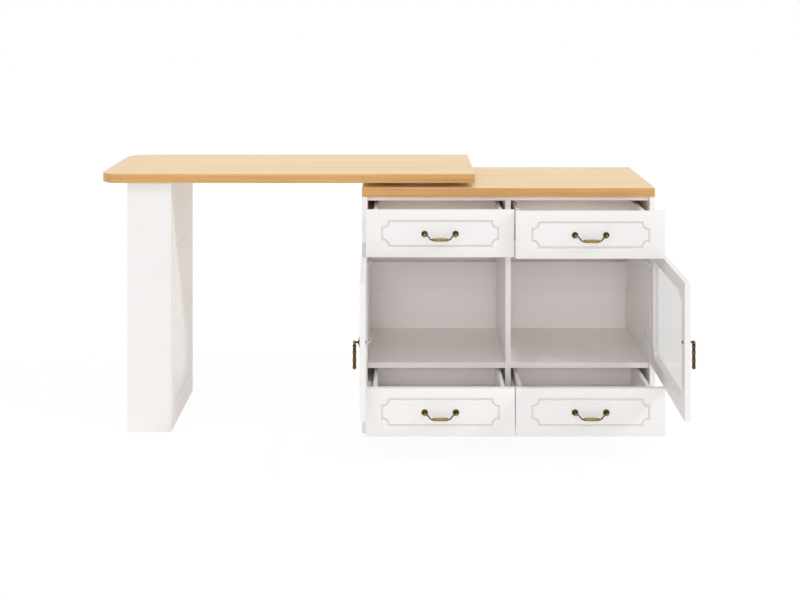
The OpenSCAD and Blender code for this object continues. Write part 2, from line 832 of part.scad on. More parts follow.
door_frame("left");  // left_door_frame
door_glass("left");  // left_door_glass
glass_retainer("left");  // left_glass_retainer
hinge_cups("left");  // left_hinge_cups
hinge_links("left");  // left_hinge_links
door_pull_post("left");  // left_pull_post
pendant("left");  // left_pendant
door_frame("right");  // right_door_frame
door_glass("right");  // right_door_glass
glass_retainer("right");  // right_glass_retainer
hinge_cups("right");  // right_hinge_cups
hinge_links("right");  // right_hinge_links
door_pull_post("right");  // right_pull_post
pendant("right");  // right_pendant

drawer_front("left", up_front_z, up_front_h, pull_upper_left);  // upper_left_front
drawer_box("left", upper_box_z, pull_upper_left);  // upper_left_box
slide_inner("left", upper_box_z, pull_upper_left);  // upper_left_slide
slide_middle("left", upper_box_z, pull_upper_left);  // upper_left_slide_middle
posts("left", upper_pull_z, pull_upper_left);  // upper_left_posts
bail("left", upper_pull_z, pull_upper_left);  // upper_left_bail

drawer_front("right", up_front_z, up_front_h, pull_upper_right);  // upper_right_front
drawer_box("right", upper_box_z, pull_upper_right);  // upper_right_box
slide_inner("right", upper_box_z, pull_upper_right);  // upper_right_slide
slide_middle("right", upper_box_z, pull_upper_right);  // upper_right_slide_middle
posts("right", upper_pull_z, pull_upper_right);  // upper_right_posts
bail("right", upper_pull_z, pull_upper_right);  // upper_right_bail

drawer_front("left", toe_h, low_front_h, pull_lower);  // lower_left_front
drawer_box("left", lower_box_z, pull_lower);  // lower_left_box
slide_inner("left", lower_box_z, pull_lower);  // lower_left_slide
slide_middle("left", lower_box_z, pull_lower);  // lower_left_slide_middle
posts("left", lower_pull_z, pull_lower);  // lower_left_posts
bail("left", lower_pull_z, pull_lower);  // lower_left_bail

drawer_front("right", toe_h, low_front_h, pull_lower);  // lower_right_front
drawer_box("right", lower_box_z, pull_lower);  // lower_right_box
slide_inner("right", lower_box_z, pull_lower);  // lower_right_slide
slide_middle("right", lower_box_z, pull_lower);  // lower_right_slide_middle
posts("right", lower_pull_z, pull_lower);  // lower_right_posts
bail("right", lower_pull_z, pull_lower);  // lower_right_bail
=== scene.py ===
"""Kitchen island: oak tops, painted boards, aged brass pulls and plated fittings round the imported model."""

import logging
import math
from dataclasses import dataclass
from enum import Enum
from typing import Any, Iterable, Sequence

import bmesh
import bpy
from mathutils import Matrix, Vector


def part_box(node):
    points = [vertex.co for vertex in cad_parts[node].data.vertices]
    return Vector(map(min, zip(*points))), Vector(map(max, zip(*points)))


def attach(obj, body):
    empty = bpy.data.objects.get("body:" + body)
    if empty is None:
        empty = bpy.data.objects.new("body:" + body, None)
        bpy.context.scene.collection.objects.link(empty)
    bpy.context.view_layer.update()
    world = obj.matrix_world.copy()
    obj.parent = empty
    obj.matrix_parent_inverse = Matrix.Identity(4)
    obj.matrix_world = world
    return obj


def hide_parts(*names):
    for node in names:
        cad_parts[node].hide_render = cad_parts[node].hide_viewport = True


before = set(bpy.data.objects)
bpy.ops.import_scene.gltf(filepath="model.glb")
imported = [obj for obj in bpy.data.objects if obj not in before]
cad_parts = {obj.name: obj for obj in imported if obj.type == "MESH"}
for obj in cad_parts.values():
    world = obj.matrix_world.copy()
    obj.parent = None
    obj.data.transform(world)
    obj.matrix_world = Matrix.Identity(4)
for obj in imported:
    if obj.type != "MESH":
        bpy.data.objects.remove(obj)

log = logging.getLogger("island")
Colour = tuple[float, float, float]
Point = tuple[float, float, float]
Flat = tuple[float, float]
Ring = Sequence[bmesh.types.BMVert]
Socket = bpy.types.NodeSocket

WHITE = (1.0, 1.0, 1.0, 1.0)
EVEN = (1.0, 1.0, 1.0)
MM = 0.001
# Points this close, in metres, are one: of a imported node, and of a new mesh
JOIN_WITHIN = 0.02 * MM
SAME_WITHIN = 0.002 * MM
# Degrees from which an edge is eased on a board, stays sharp on a rounded node, and on a new mesh
EASE_FROM = 35.0
SPLIT_FROM = 32.0
CREASE_FROM = 34.0
# Sizes in millimetres that more than one class uses
FRONT_BOARD = 16.0
HINGE_HEIGHTS = (302.9, 559.9)


def linear(colour: Colour) -> tuple[float, float, float, float]:
    """Turns a display colour, from 0 to 1, into the linear colour with full alpha that shaders use."""
    parts = [c / 12.92 if c <= 0.04045 else ((c + 0.055) / 1.055) ** 2.4 for c in colour]
    return (parts[0], parts[1], parts[2], 1.0)


class Num:
    """A number that comes out of a node and takes part in ordinary expressions."""

    def __init__(self, sheet: "NodeSheet", socket: Socket) -> None:
        """Keeps the sheet that the number's own nodes are added to."""
        self.sheet = sheet
        self.socket = socket

    def math(self, operation: str, other: "NumLike" = 0.0, swapped: bool = False) -> "Num":
        """Adds one Math node.

        Args:
            operation: The Math node's operation.
            other: The second value.
            swapped: True where the other value comes first.

        Returns:
            The node's result.
        """
        first, second = (other, self) if swapped else (self, other)
        node = self.sheet.node("ShaderNodeMath", {"operation": operation}, {0: first, 1: second})
        return Num(self.sheet, node.outputs[0])

    def __add__(self, other: "NumLike") -> "Num":
        """Sum."""
        return self.math("ADD", other)

    def __radd__(self, other: float) -> "Num":
        """Sum with a plain number first."""
        return self.math("ADD", other, True)

    def __sub__(self, other: "NumLike") -> "Num":
        """Difference."""
        return self.math("SUBTRACT", other)

    def __rsub__(self, other: float) -> "Num":
        """Difference from a plain number."""
        return self.math("SUBTRACT", other, True)

    def __mul__(self, other: "NumLike") -> "Num":
        """Product."""
        return self.math("MULTIPLY", other)

    def __rmul__(self, other: float) -> "Num":
        """Product with a plain number first."""
        return self.math("MULTIPLY", other, True)

    def clipped(self, low: float, high: float) -> "Num":
        """Gives a share that runs from 0 at low to 1 at high and stays inside."""
        node = self.sheet.node("ShaderNodeMapRange", {"clamp": True}, {0: self, 1: low, 2: high})
        return Num(self.sheet, node.outputs[0])


NumLike = Num | float


class NodeSheet:
    """The node tree of a material or of the surroundings."""

    def __init__(self, tree: bpy.types.NodeTree) -> None:
        """Keeps the tree."""
        self.tree = tree

    def fill(self, node: bpy.types.Node, key: int | str, value: Any) -> None:
        """Sets one input of a node, or links it.

        Args:
            node: The node.
            key: The input's name or place.
            value: A Num, a socket, or a plain value.
        """
        target = node.inputs[key]
        if isinstance(value, Num):
            value = value.socket
        if isinstance(value, bpy.types.NodeSocket):
            self.tree.links.new(value, target)
        else:
            target.default_value = value

    def node(self, kind: str, settings: dict[str, Any], inputs: dict[Any, Any]) -> bpy.types.Node:
        """Adds a node.

        Args:
            kind: The node's type name.
            settings: Its own settings, set first; "stops" are a colour ramp's.
            inputs: Values or links of its sockets, by name or place.

        Returns:
            The new node.
        """
        made = self.tree.nodes.new(kind)
        for name, value in settings.items():
            if name == "stops":
                ramp = made.color_ramp
                while len(ramp.elements) < len(value):
                    ramp.elements.new(0.5)
                for element, (place, colour) in zip(ramp.elements, value):
                    element.position = place
                    element.color = linear(colour)
            else:
                setattr(made, name, value)
        for key, value in inputs.items():
            self.fill(made, key, value)
        return made

    def seen(self) -> Num:
        """Tells the rays of the camera, a gloss and a glass from all others.

        Returns:
            1 for such a ray, 0 for any other.
        """
        rays = self.node("ShaderNodeLightPath", {}, {}).outputs
        seen = Num(self, rays["Is Camera Ray"])
        for other in ("Is Glossy Ray", "Is Transmission Ray"):
            seen = seen.math("MAXIMUM", Num(self, rays[other]))
        return seen


class ShaderSheet(NodeSheet):
    """One material's node tree, with its Principled shader."""

    def __init__(self, name: str) -> None:
        """Makes the material and finds its shader.

        Args:
            name: The material's name.
        """
        self.material = bpy.data.materials.new(name)
        self.material.use_nodes = True
        super().__init__(self.material.node_tree)
        self.shader = next(n for n in self.tree.nodes if n.type == "BSDF_PRINCIPLED")
        self.output = next(n for n in self.tree.nodes if n.type == "OUTPUT_MATERIAL")

    def noise(self, scale: float, detail: float, rough: float, warp: float = 0.0, axes: Point = EVEN) -> Num:
        """Adds a noise texture on the piece's own coordinates.

        Args:
            scale: How many waves it has to a metre.
            detail: How many finer layers it adds.
            rough: How strong the finer layers are.
            warp: How far it is pulled out of shape.
            axes: What each coordinate is multiplied by, for a grain.

        Returns:
            Its value.
        """
        place = self.node("ShaderNodeTexCoord", {}, {}).outputs["Object"]
        vector = self.node("ShaderNodeMapping", {}, {"Vector": place, "Scale": axes}).outputs[0]
        values = {"Vector": vector, "Scale": scale, "Detail": detail, "Roughness": rough, "Distortion": warp}
        return Num(self, self.node("ShaderNodeTexNoise", {"noise_dimensions": "3D"}, values).outputs[0])

    def facing(self) -> Num:
        """Gives how far the surface faces up: 1 for a level top, -1 for an underside."""
        normal = self.node("ShaderNodeNewGeometry", {}, {}).outputs["Normal"]
        return Num(self, self.node("ShaderNodeSeparateXYZ", {}, {0: normal}).outputs[2])

    def attribute(self, name: str) -> Num:
        """Gives a value that the mesh keeps at its points, and 0 where it keeps none."""
        return Num(self, self.node("ShaderNodeAttribute", {"attribute_name": name}, {}).outputs["Fac"])

    def ramp(self, value: Num, stops: Sequence[tuple[float, Colour]]) -> Socket:
        """Turns a number into a colour through a ramp."""
        return self.node("ShaderNodeValToRGB", {"stops": stops}, {0: value}).outputs[0]

    def mix(self, share: NumLike, first: Any, second: Any) -> Socket:
        """Mixes two colours, given as sockets or linear colours; the share is the second one's."""
        made = self.node("ShaderNodeMix", {"data_type": "RGBA"}, {0: share, 6: first, 7: second})
        return made.outputs[2]

    def dress(self, **sockets: Any) -> bpy.types.Material:
        """Sets sockets of the shader.

        Args:
            sockets: Their values or links, by name, with _ for a space.

        Returns:
            The finished material.
        """
        for name, value in sockets.items():
            self.fill(self.shader, name.replace("_", " "), value)
        return self.material

    def bump(self, height: Num, strength: float, distance: float) -> Socket:
        """Adds a Bump node, with the distance in metres."""
        made = self.node("ShaderNodeBump", {}, {"Height": height, "Strength": strength, "Distance": distance})
        return made.outputs[0]


@dataclass(frozen=True)
class OakFinish:
    """Light oak with straight, fine, quiet grain and short pores; its level faces are paler than its upright
    faces, a painted sheen.
    """

    name: str = "oak"
    pale: Colour = (0.958, 0.842, 0.660)
    warm: Colour = (0.936, 0.804, 0.606)
    line: Colour = (0.862, 0.705, 0.478)
    # Deeper colours of the upright faces; the paler ones above, on level faces, carry painted sheen
    upright_pale: Colour = (0.875, 0.675, 0.420)
    upright_warm: Colour = (0.825, 0.615, 0.355)
    upright_line: Colour = (0.710, 0.490, 0.250)
    tones: Point = (0.38, 0.47, 0.57)
    roughness: float = 0.42

    def material(self) -> bpy.types.Material:
        """Builds the lacquered oak, with its grain along X.

        Returns:
            The material.
        """
        s = ShaderSheet(self.name)
        bands = s.noise(1.0, 3.0, 0.55, 0.5, axes=(0.35, 9.0, 9.0))
        streaks = s.noise(1.0, 5.0, 0.68, 0.25, axes=(1.4, 90.0, 110.0))
        fibres = s.noise(1.0, 3.0, 0.6, axes=(9.0, 520.0, 520.0))
        pores = s.noise(1.0, 2.0, 0.5, axes=(45.0, 1500.0, 1500.0))
        tone = bands * 0.25 + streaks * 0.5 + fibres * 0.25
        face = s.ramp(tone, list(zip(self.tones, (self.line, self.warm, self.pale))))
        upright_tone = s.ramp(tone, list(zip(self.tones, (self.upright_line, self.upright_warm, self.upright_pale))))
        # Painted sheen: level faces take the paler ramp, upright faces the deeper one
        level = s.facing().math("ABSOLUTE").clipped(0.5, 0.85)
        pitted = pores.clipped(0.60, 0.72)
        colour = s.mix(pitted * 0.22, s.mix(level, upright_tone, face), linear(self.upright_line))
        return s.dress(
            Base_Color=colour,
            Roughness=self.roughness + fibres * 0.12 - 0.06,
            Coat_Weight=0.15,
            Coat_Roughness=0.30,
            Normal=s.bump(fibres * 0.6 - pitted * 0.7, 0.22, 0.0003),
        )


@dataclass(frozen=True)
class PaintFinish:
    """Sprayed paint on board: a faint orange peel, a slightly uneven sheen, and painted shade in the routed
    lines.
    """

    name: str = "white_paint"
    colour: Colour = (0.982, 0.963, 0.952)
    shade: Colour = (0.976, 0.954, 0.942)
    # Colour of the painted shade in a routed line
    painted_groove_shade: Colour = (0.800, 0.775, 0.755)
    roughness: float = 0.38

    def material(self) -> bpy.types.Material:
        """Builds the paint, with painted shade in a routed line, darkest on the flank that faces down.

        Returns:
            The material.
        """
        s = ShaderSheet(self.name)
        cloud = s.noise(3.2, 3.0, 0.5)
        peel = s.noise(520.0, 2.0, 0.5)
        bare = s.mix(cloud.clipped(0.35, 0.7) * 0.55, linear(self.colour), linear(self.shade))
        # Painted shade: darker in the routed line, most where its flank faces down
        groove_shade_share = s.attribute("wear") * ((0.0 - s.facing()).clipped(0.0, 0.5) * 0.65 + 0.35)
        colour = s.mix(groove_shade_share, bare, linear(self.painted_groove_shade))
        return s.dress(
            Base_Color=colour,
            Roughness=self.roughness + cloud * 0.10 - 0.05,
            Normal=s.bump(peel, 0.10, 0.0002),
        )


@dataclass(frozen=True)
class BrassFinish:
    """Aged brass: nearly black in the hollows and rubbed to a dull gold where hands and cloths reach."""

    name: str = "dark_brass"
    deep: Colour = (0.175, 0.125, 0.060)
    brown: Colour = (0.345, 0.245, 0.110)
    gold: Colour = (0.500, 0.410, 0.225)
    bright: Colour = (0.680, 0.590, 0.360)
    tones: tuple[float, ...] = (0.04, 0.28, 0.58, 0.88)
    roughness: float = 0.34

    def material(self) -> bpy.types.Material:
        """Builds the patina.

        Returns:
            The material.
        """
        s = ShaderSheet(self.name)
        cloud = s.noise(150.0, 4.0, 0.62, 0.5)
        specks = s.noise(1100.0, 3.0, 0.6)
        rubbed = s.attribute("wear") * 0.78 + cloud * 0.55 + specks * 0.12 - 0.24
        colours = (self.deep, self.brown, self.gold, self.bright)
        return s.dress(
            Base_Color=s.ramp(rubbed, list(zip(self.tones, colours))),
            Metallic=0.78 + rubbed * 0.2,
            Roughness=self.roughness + (1 - rubbed) * 0.24 - 0.06,
            Normal=s.bump(specks + cloud * 0.5, 0.18, 0.0002),
        )


@dataclass(frozen=True)
class SteelFinish:
    """Plated or rolled steel with a fine drawn texture."""

    name: str = "steel"
    colour: Colour = (0.955, 0.950, 0.945)
    shade: Colour = (0.890, 0.890, 0.890)
    roughness: float = 0.36
    drawn: Point = (900.0, 40.0, 900.0)
    metallic: float = 0.22

    def material(self) -> bpy.types.Material:
        """Builds the plating.

        Returns:
            The material.
        """
        s = ShaderSheet(self.name)
        lines = s.noise(1.0, 2.0, 0.5, axes=self.drawn)
        cloud = s.noise(60.0, 3.0, 0.5)
        return s.dress(
            Base_Color=s.mix(cloud.clipped(0.4, 0.75) * 0.7, linear(self.colour), linear(self.shade)),
            Metallic=self.metallic,
            Roughness=self.roughness + lines * 0.16 - 0.04,
            Normal=s.bump(lines, 0.08, 0.0001),
        )


@dataclass(frozen=True)
class NylonFinish:
    """Moulded nylon with a fine mould grain."""

    name: str = "nylon"
    colour: Colour = (0.86, 0.86, 0.84)
    shade: Colour = (0.80, 0.80, 0.77)
    roughness: float = 0.55

    def material(self) -> bpy.types.Material:
        """Builds the nylon.

        Returns:
            The material.
        """
        s = ShaderSheet(self.name)
        grain = s.noise(1400.0, 2.0, 0.5)
        cloud = s.noise(40.0, 2.0, 0.5)
        return s.dress(
            Base_Color=s.mix(cloud * 0.3, linear(self.colour), linear(self.shade)),
            Roughness=self.roughness + grain * 0.1,
            Normal=s.bump(grain, 0.1, 0.0001),
        )


@dataclass(frozen=True)
class PaneFinish:
    """Glass with a pale grey film and a smooth, glossy face."""

    name: str = "pane"
    colour: Colour = (0.862, 0.864, 0.860)
    alpha: float = 0.30

    def material(self) -> bpy.types.Material:
        """Builds the glass.

        Returns:
            The material.
        """
        s = ShaderSheet(self.name)
        film = s.noise(5.0, 3.0, 0.5)
        s.material.surface_render_method = "BLENDED"
        return s.dress(
            Base_Color=linear(self.colour),
            Roughness=0.06 + film * 0.05,
            Alpha=self.alpha + film * 0.04 - 0.02,
        )


class Paint(Enum):
    """The finishes of this piece, by the record's material slots."""

    WHITE = "white_paint"
    FRONT = "white_front"
    OAK = "oak"
    BRASS = "dark_brass"
    STEEL = "steel"
    SLIDE = "slide_steel"
    NYLON = "nylon"
    PANE = "pane"

    @property
    def slot(self) -> str:
        """The record's material slot; the fronts' darker copy of the white paint, a painted shade, shares the
        slot of the other white boards.
        """
        return Paint.WHITE.value if self is Paint.FRONT else self.value


FINISHES = {
    Paint.WHITE: PaintFinish(),
    # A darker copy of the white paint on fronts, door frames and leg ends, the most lit faces: painted shade
    Paint.FRONT: PaintFinish("white_front", (0.950, 0.940, 0.935), (0.944, 0.933, 0.927)),
    Paint.OAK: OakFinish(),
    Paint.BRASS: BrassFinish(),
    Paint.STEEL: SteelFinish(),
    Paint.SLIDE: SteelFinish("slide_steel", (0.84, 0.83, 0.825), (0.74, 0.73, 0.73), 0.45, metallic=0.15),
    Paint.NYLON: NylonFinish(),
    Paint.PANE: PaneFinish(),
}


class Workshop:
    """Holds the finished materials and puts them on nodes and new pieces."""

    def __init__(self) -> None:
        """Builds each finish once."""
        self.materials = {paint: finish.material() for paint, finish in FINISHES.items()}

    def dress(self, node: str, paint: Paint) -> bpy.types.Object:
        """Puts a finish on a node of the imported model, and joins and smooths its faces.

        Args:
            node: The node.
            paint: Its finish.

        Returns:
            The node's object.
        """
        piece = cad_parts[node]
        for place in piece.material_slots:
            place.material = self.materials[paint]
        if not piece.material_slots:
            piece.data.materials.append(self.materials[paint])
        for face in piece.data.polygons:
            face.use_smooth = True
        piece.modifiers.new("joined", "WELD").merge_threshold = JOIN_WITHIN
        log.info("dressed %s in %s", node, paint.value)
        return piece

    def soften(self, node: str, paint: Paint, width: float = 0.9) -> None:
        """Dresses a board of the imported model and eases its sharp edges.

        Args:
            node: The board's node.
            paint: Its finish.
            width: The eased edge's width in millimetres.
        """
        piece = self.dress(node, paint)
        edge = piece.modifiers.new("eased", "BEVEL")
        edge.width = width * MM
        edge.segments = 2
        edge.limit_method = "ANGLE"
        edge.angle_limit = math.radians(EASE_FROM)
        piece.modifiers.new("level", "WEIGHTED_NORMAL").keep_sharp = False

    def smooth(self, node: str, paint: Paint) -> None:
        """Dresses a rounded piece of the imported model, whose sharp edges stay sharp."""
        piece = self.dress(node, paint)
        piece.modifiers.new("creased", "EDGE_SPLIT").split_angle = math.radians(SPLIT_FROM)


def circle(radius: float, height: float, steps: int) -> list[Point]:
    """Gives the points of a circle round the Z axis."""
    turn = [math.tau * i / steps for i in range(steps)]
    return [(radius * math.cos(t), radius * math.sin(t), height) for t in turn]


class Shape:
    """A mesh under construction, in millimetres, which becomes one named piece.

    Its points keep one value for two things: how rubbed brass is there, and how much painted shade a routed
    line has.
    """

    def __init__(self, name: str) -> None:
        """Starts an empty mesh.

        Args:
            name: The piece's name.
        """
        self.name = name
        self.mesh = bmesh.new()
        self.wear = self.mesh.verts.layers.float.new("wear")

    def ring(self, points: Iterable[Sequence[float]], place: Matrix = Matrix(), wear: float = 0.0) -> Ring:
        """Adds the points of one ring.

        Args:
            points: Their places.
            place: A placement that they go through.
            wear: Their wear on brass, and their painted shade in a routed line, from 0 to 1.

        Returns:
            The new vertices.
        """
        made = [self.mesh.verts.new(place @ Vector(point)) for point in points]
        for vert in made:
            vert[self.wear] = wear
        return made

    def skin(self, rings: Sequence[Ring], caps: tuple[bool, bool] = (True, True)) -> None:
        """Joins rings of equal length, one after the other.

        Args:
            rings: The rings.
            caps: Whether the first and the last ring are closed by a face.
        """
        for first, second in zip(rings, rings[1:]):
            for i, start in enumerate(first):
                j = (i + 1) % len(first)
                self.mesh.faces.new((start, first[j], second[j], second[i]))
        if caps[0]:
            self.mesh.faces.new(list(reversed(rings[0])))
        if caps[1]:
            self.mesh.faces.new(list(rings[-1]))

    def fill(self, *loops: Ring) -> None:
        """Closes the flat area between loops of vertices, such as a face with a hole.

        Args:
            loops: The outer loop and the hole's.
        """
        edges = []
        for loop in loops:
            for i, start in enumerate(loop):
                ends = (start, loop[(i + 1) % len(loop)])
                edges.append(self.mesh.edges.get(ends) or self.mesh.edges.new(ends))
        bmesh.ops.triangle_fill(self.mesh, use_beauty=True, edges=edges)

    def turned(self, profile: Sequence[Sequence[float]], place: Matrix = Matrix(), steps: int = 36) -> None:
        """Turns a profile, given as radius, height and wear from end to end, round the Z axis."""
        self.skin([self.ring(circle(radius, height, steps), place, wear) for radius, height, wear in profile])

    def swept(self, stations: Sequence[Sequence[float]], steps: int = 20) -> None:
        """Sweeps a round section along a path in the XZ plane.

        Args:
            stations: X, Z, radius and wear along the path.
            steps: The number of sides.
        """
        rings = []
        for i, (x, z, radius, wear) in enumerate(stations):
            before, after = stations[max(i - 1, 0)], stations[min(i + 1, len(stations) - 1)]
            along = Vector((after[0] - before[0], 0.0, after[1] - before[1])).normalized()
            across = Vector((-along.z, 0.0, along.x))
            middle, sideways = Vector((x, 0.0, z)), Vector((0.0, 1.0, 0.0))
            turn = [math.tau * k / steps for k in range(steps)]
            points = [middle + radius * (math.cos(t) * across + math.sin(t) * sideways) for t in turn]
            rings.append(self.ring(points, wear=wear))
        self.skin(rings)

    def plate(self, outline: Sequence[Flat], faces: Flat, ease: float, place: Matrix = Matrix()) -> None:
        """Raises a convex outline in XY to a plate with eased rims.

        Args:
            outline: The outline's points.
            faces: Z of its lower and its upper face.
            ease: Width of the eased rims.
            place: Where the plate stands.
        """
        low, high = faces
        middle = Vector((sum(p[0] for p in outline), sum(p[1] for p in outline))) / len(outline)
        reach = max((Vector(p) - middle).length for p in outline)
        rings = []
        for drawn_in, height in ((ease, low), (0.0, low + ease), (0.0, high - ease), (ease, high)):
            share = 1.0 - drawn_in / reach
            points = [middle + (Vector(p) - middle) * share for p in outline]
            rings.append(self.ring([(p.x, p.y, height) for p in points], place))
        self.skin(rings)

    def piece(
        self, paint: Paint, shop: Workshop, body: str, *stands_for: str, place: Matrix = Matrix()
    ) -> None:
        """Finishes the mesh as a piece of the model.

        Args:
            paint: Its finish.
            shop: The workshop that holds the finishes.
            body: The body that it moves with.
            stands_for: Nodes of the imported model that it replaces.
            place: A placement in millimetres that the whole mesh goes through.
        """
        bmesh.ops.transform(self.mesh, matrix=Matrix.Scale(MM, 4) @ place, verts=self.mesh.verts)
        bmesh.ops.remove_doubles(self.mesh, verts=self.mesh.verts, dist=SAME_WITHIN)
        bmesh.ops.recalc_face_normals(self.mesh, faces=self.mesh.faces)
        data = bpy.data.meshes.new(self.name)
        self.mesh.to_mesh(data)
        self.mesh.free()
        data.shade_smooth()
        data.set_sharp_from_angle(angle=math.radians(CREASE_FROM))
        data.materials.append(shop.materials[paint])
        made = bpy.data.objects.new(self.name, data)
        bpy.context.scene.collection.objects.link(made)
        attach(made, body)
        if stands_for:
            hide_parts(*stands_for)
        log.info("made %s, %d faces, on %s", self.name, len(data.polygons), body)


def rectangle(half: Flat, inset: float, depth: float) -> list[Point]:
    """Gives the corners of a rectangle that is drawn in by an inset and lies at a depth behind a face."""
    x, z = half[0] - inset, half[1] - inset
    return [(x, depth, z), (x, depth, -z), (-x, depth, -z), (-x, depth, z)]


@dataclass(frozen=True)
class Notched:
    """A rectangle whose corners are cut by a small step, a cove and a second step."""

    half: Flat
    notch: float = 20.0
    step: float = 6.0
    arc_steps: int = 9

    def corner(self, inset: float) -> list[Flat]:
        """Gives one corner's points, measured from the corner inward.

        Args:
            inset: How far the outline is drawn in.

        Returns:
            The points from the level edge to the upright one.
        """
        radius = self.notch - self.step + inset
        start = math.asin(max(0.0, inset - self.step) / radius)
        turns = [start + (math.pi / 2 - 2 * start) * i / self.arc_steps for i in range(self.arc_steps + 1)]
        arc = [(self.step + radius * math.cos(t), self.step + radius * math.sin(t)) for t in turns]
        return [(arc[0][0], inset), *arc, (inset, arc[-1][1])]

    def loop(self, inset: float, depth: float) -> list[Point]:
        """Gives the whole outline.

        Args:
            inset: How far it is drawn in.
            depth: How far it lies behind the face.

        Returns:
            The points, all the way round.
        """
        points = []
        for sx, sz, back in ((1, 1, False), (1, -1, True), (-1, -1, False), (-1, 1, True)):
            run = self.corner(inset)
            for a, b in reversed(run) if back else run:
                points.append((sx * (self.half[0] - a), depth, sz * (self.half[1] - b)))
        return points


def bay(side: str) -> Matrix:
    """Gives the placement of the left bay's pieces, or mirrors them into the right bay."""
    return Matrix.Scale(-1, 4, (1, 0, 0)) if side == "right" else Matrix()


def toward(axis: Point, at: Point) -> Matrix:
    """Gives the placement that points what is drawn along Z along an axis from a place."""
    return Matrix.Translation(Vector(at)) @ Vector(axis).to_track_quat("Z", "Y").to_matrix().to_4x4()


@dataclass(frozen=True)
class Lamp:
    """A distant lamp: where its light comes from, its strength and its width in the sky in degrees."""

    name: str
    source: Point
    power: float
    width: float


@dataclass(frozen=True)
class Studio:
    """The camera, the lamps, the pale floor and the white surroundings."""

    eye: Point = (-0.343, -3.654, 1.465)
    lens: float = 47.5
    sensor: float = 36.0
    shift: Flat = (-0.00475, -0.39115)
    clip: Flat = (0.05, 60.0)
    lamps: tuple[Lamp, ...] = (
        Lamp("key", (1.0, -0.394, 0.925), 0.72, 3.0),
        Lamp("front", (-0.06, -1.0, 0.375), 0.42, 13.0),
        Lamp("level", (0.04, -1.0, 0.09), 0.13, 12.0),
        Lamp("side", (1.0, -0.25, 0.45), 0.27, 60.0),
        Lamp("left", (-1.0, -0.6, 0.40), 0.14, 60.0),
        Lamp("above", (0.0, -0.35, 1.0), 0.45, 50.0),
    )
    sky_power: float = 0.55
    floor_reach: float = 14.0
    floor_tone: tuple[float, ...] = (0.92, 0.92, 0.92, 1.0)
    floor_roughness: float = 0.9
    floor_glow: float = 1.03
    floor_share: float = 0.9

    def camera(self) -> None:
        """Makes the camera, level and square to the fronts."""
        data = bpy.data.cameras.new("camera")
        data.lens = self.lens
        data.sensor_width = self.sensor
        data.shift_x, data.shift_y = self.shift
        data.clip_start, data.clip_end = self.clip
        eye = bpy.data.objects.new("camera", data)
        eye.location = self.eye
        eye.rotation_euler = (math.radians(90), 0.0, 0.0)
        bpy.context.scene.collection.objects.link(eye)
        bpy.context.scene.camera = eye

    def light(self, lamp: Lamp) -> None:
        """Hangs one lamp.

        Args:
            lamp: Its facts; a wide one softens its shadows.
        """
        data = bpy.data.lights.new(lamp.name, "SUN")
        data.energy = lamp.power
        data.angle = math.radians(lamp.width)
        hung = bpy.data.objects.new(lamp.name, data)
        hung.rotation_mode = "QUATERNION"
        hung.rotation_quaternion = Vector(lamp.source).to_track_quat("Z", "Y")
        bpy.context.scene.collection.objects.link(hung)

    def surroundings(self) -> None:
        """Makes the soft white surroundings, plain white where they are seen."""
        world = bpy.data.worlds.new("studio")
        bpy.context.scene.world = world
        world.use_nodes = True
        world.node_tree.nodes.clear()
        s = NodeSheet(world.node_tree)
        soft = s.node("ShaderNodeBackground", {}, {0: WHITE, 1: self.sky_power})
        white = s.node("ShaderNodeBackground", {}, {0: WHITE})
        both = s.node("ShaderNodeMixShader", {}, {0: s.seen(), 1: soft.outputs[0], 2: white.outputs[0]})
        s.node("ShaderNodeOutputWorld", {}, {0: both.outputs[0]})

    def floor(self) -> None:
        """Makes the pale floor, which shows white and keeps a faint shadow."""
        mesh = bpy.data.meshes.new("floor")
        r = self.floor_reach
        mesh.from_pydata([(-r, -r, 0), (r, -r, 0), (r, r, 0), (-r, r, 0)], [], [(0, 1, 2, 3)])
        floor = bpy.data.objects.new("floor", mesh)
        bpy.context.scene.collection.objects.link(floor)
        s = ShaderSheet("floor")
        s.dress(Base_Color=self.floor_tone, Roughness=self.floor_roughness)
        glow = s.node("ShaderNodeEmission", {}, {0: WHITE, 1: self.floor_glow})
        share = s.seen() * self.floor_share
        both = s.node("ShaderNodeMixShader", {}, {0: share, 1: s.shader.outputs[0], 2: glow.outputs[0]})
        s.fill(s.output, 0, both.outputs[0])
        mesh.materials.append(s.material)

    def build(self) -> None:
        """Sets up the whole studio."""
        self.camera()
        for lamp in self.lamps:
            self.light(lamp)
        self.surroundings()
        self.floor()
        bpy.context.scene.view_settings.view_transform = "Standard"
        log.info("studio ready")


def span(node: str) -> tuple[Vector, Vector]:
    """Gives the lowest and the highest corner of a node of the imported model, in millimetres."""
    low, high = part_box(node)
    return low / MM, high / MM


def bump_at(value: float, middle: float, reach: float) -> float:
    """Gives a round bump: 1 at its middle and nearly 0 from twice its reach on."""
    return math.exp(-(((value - middle) / reach) ** 2))


